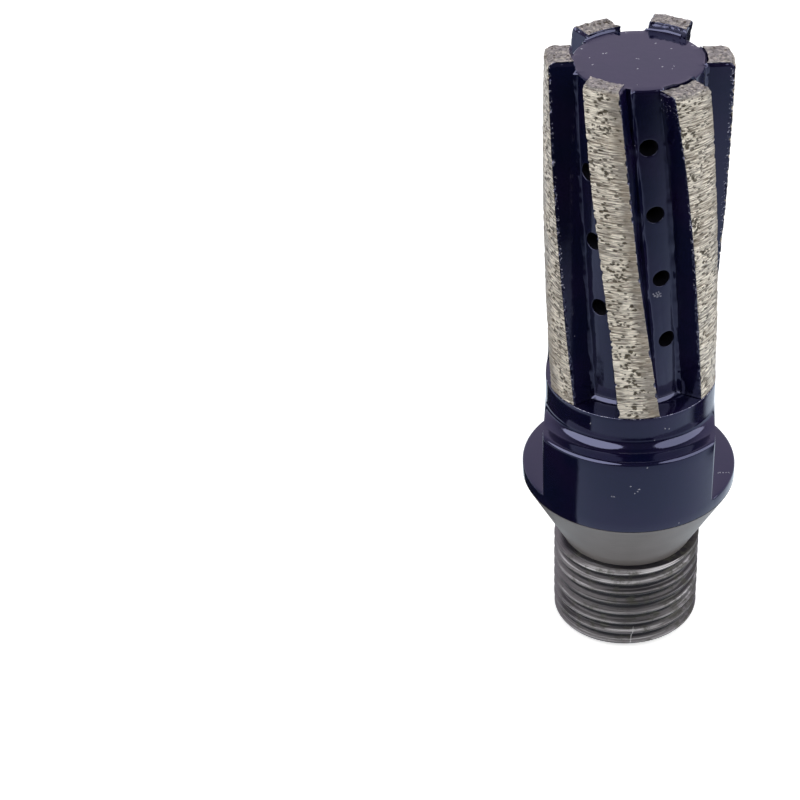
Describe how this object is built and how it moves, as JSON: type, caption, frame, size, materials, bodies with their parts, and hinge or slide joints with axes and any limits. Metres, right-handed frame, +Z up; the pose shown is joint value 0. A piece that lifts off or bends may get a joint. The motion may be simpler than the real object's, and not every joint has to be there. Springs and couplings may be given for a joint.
{
  "type": "diamond finger bit",
  "caption": "Water-fed finger bit for stone: steel body with a pipe-thread shank, wrench flats and twisted diamond segments.",
  "frame": {"origin": "centre of the threaded end face, which the bit stands on", "axes": "+Z up the bit's axis towards the cutting tip, wrench flats facing +X and -X"},
  "size_m": [0.03, 0.03, 0.0905],
  "materials": {
    "navy_paint": "glossy dark navy paint on steel",
    "bare_steel": "satin turned steel",
    "diamond_matrix": "ground sintered metal with open grit pits"
  },
  "bodies": {
    "root": {"bit_body": "navy_paint", "diamond_segment_1": "diamond_matrix", "diamond_segment_2": "diamond_matrix", "diamond_segment_3": "diamond_matrix", "diamond_segment_4": "diamond_matrix", "diamond_segment_5": "diamond_matrix", "diamond_segment_6": "diamond_matrix"}
  },
  "joints": []
}
